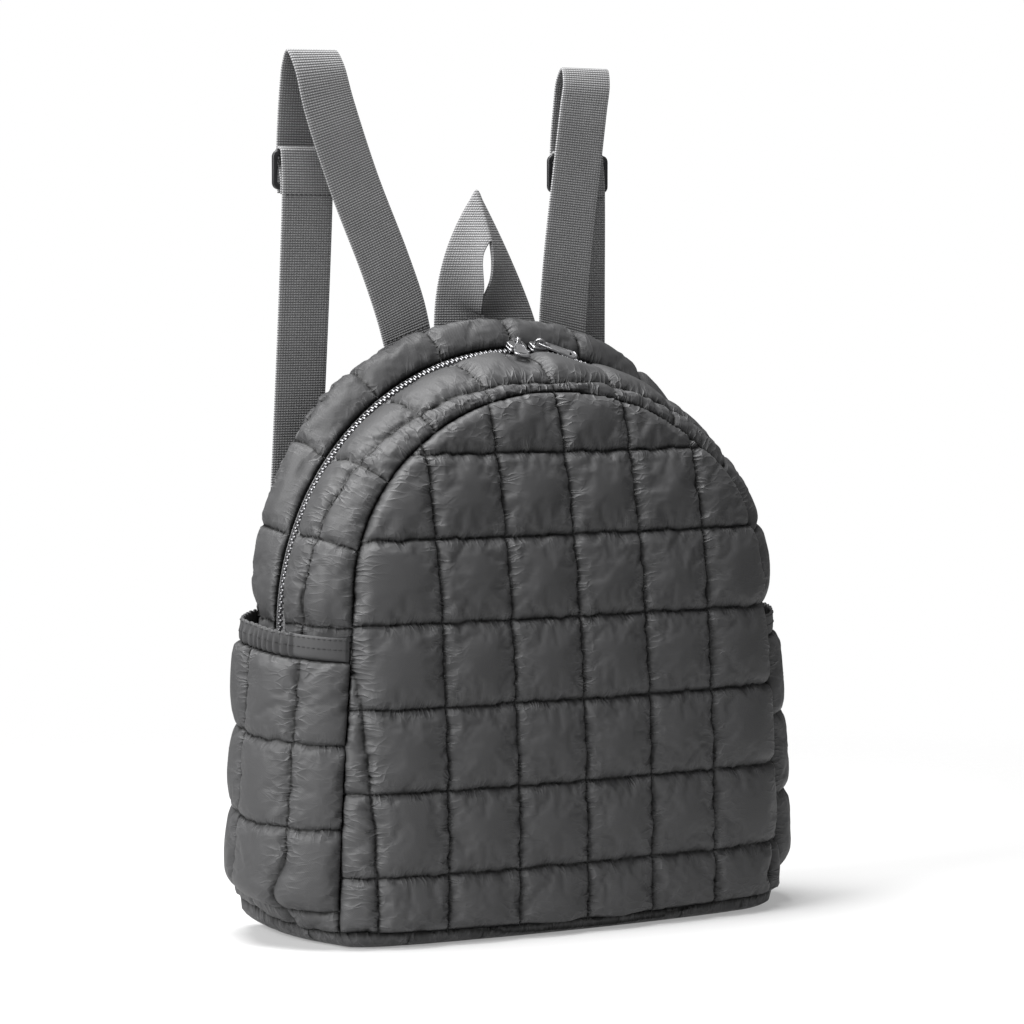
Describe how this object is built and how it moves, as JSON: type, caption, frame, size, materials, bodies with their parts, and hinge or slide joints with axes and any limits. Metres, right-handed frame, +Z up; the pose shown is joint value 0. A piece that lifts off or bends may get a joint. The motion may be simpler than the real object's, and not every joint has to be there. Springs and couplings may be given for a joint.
{
  "type": "quilted backpack",
  "caption": "Small quilted nylon backpack with an arched top, a zip over the top, elasticated side pockets, webbing shoulder straps and a folded carrying loop.",
  "frame": {"origin": "on the floor, in the middle of the flat underside of the base", "axes": "+Z up, +X to the right seen from the front, +Y from the quilted front to the back that carries the straps"},
  "size_m": [0.3872, 0.1503, 0.5172],
  "materials": {
    "quilted_nylon": "quilted, slightly shiny woven nylon",
    "plain_nylon": "plain woven nylon, gathered over elastic at the pocket mouths",
    "webbing": "ribbed woven webbing",
    "zip_tape": "woven tape",
    "zip_teeth": "bright metal teeth",
    "dark_nickel": "polished dark nickel",
    "slider_plastic": "moulded black plastic"
  },
  "bodies": {
    "bag": {"front_panel": "quilted_nylon", "back_panel": "quilted_nylon", "base_panel": "quilted_nylon", "front_gusset": "quilted_nylon", "back_gusset": "quilted_nylon", "zip_tape_front": "zip_tape", "zip_teeth": "zip_teeth", "zip_tape_back": "zip_tape", "zip_slider_left": "dark_nickel", "zip_slider_right": "dark_nickel", "side_panel_left": "plain_nylon", "pocket_left": "quilted_nylon", "pocket_binding_left": "plain_nylon", "side_panel_right": "plain_nylon", "pocket_right": "quilted_nylon", "pocket_binding_right": "plain_nylon", "strap_upper_left": "webbing", "strap_lower_left": "webbing", "strap_slider_left": "slider_plastic", "strap_upper_right": "webbing", "strap_lower_right": "webbing", "strap_slider_right": "slider_plastic", "handle_loop": "webbing"},
    "pull_left": {"zip_pull_left": "dark_nickel"},
    "pull_right": {"zip_pull_right": "dark_nickel"}
  },
  "joints": [
    {"name": "pull_left_swing", "type": "hinge", "parent": "bag", "child": "pull_left", "pos_m": [0.00103, -0.00271, 0.34512], "axis": [-0.9051, 0.3735, 0.203], "range_deg": [0, 135]},
    {"name": "pull_right_swing", "type": "hinge", "parent": "bag", "child": "pull_right", "pos_m": [0.01748, -0.00272, 0.34426], "axis": [-0.6087, -0.7234, -0.3259], "range_deg": [0, 100]}
  ]
}
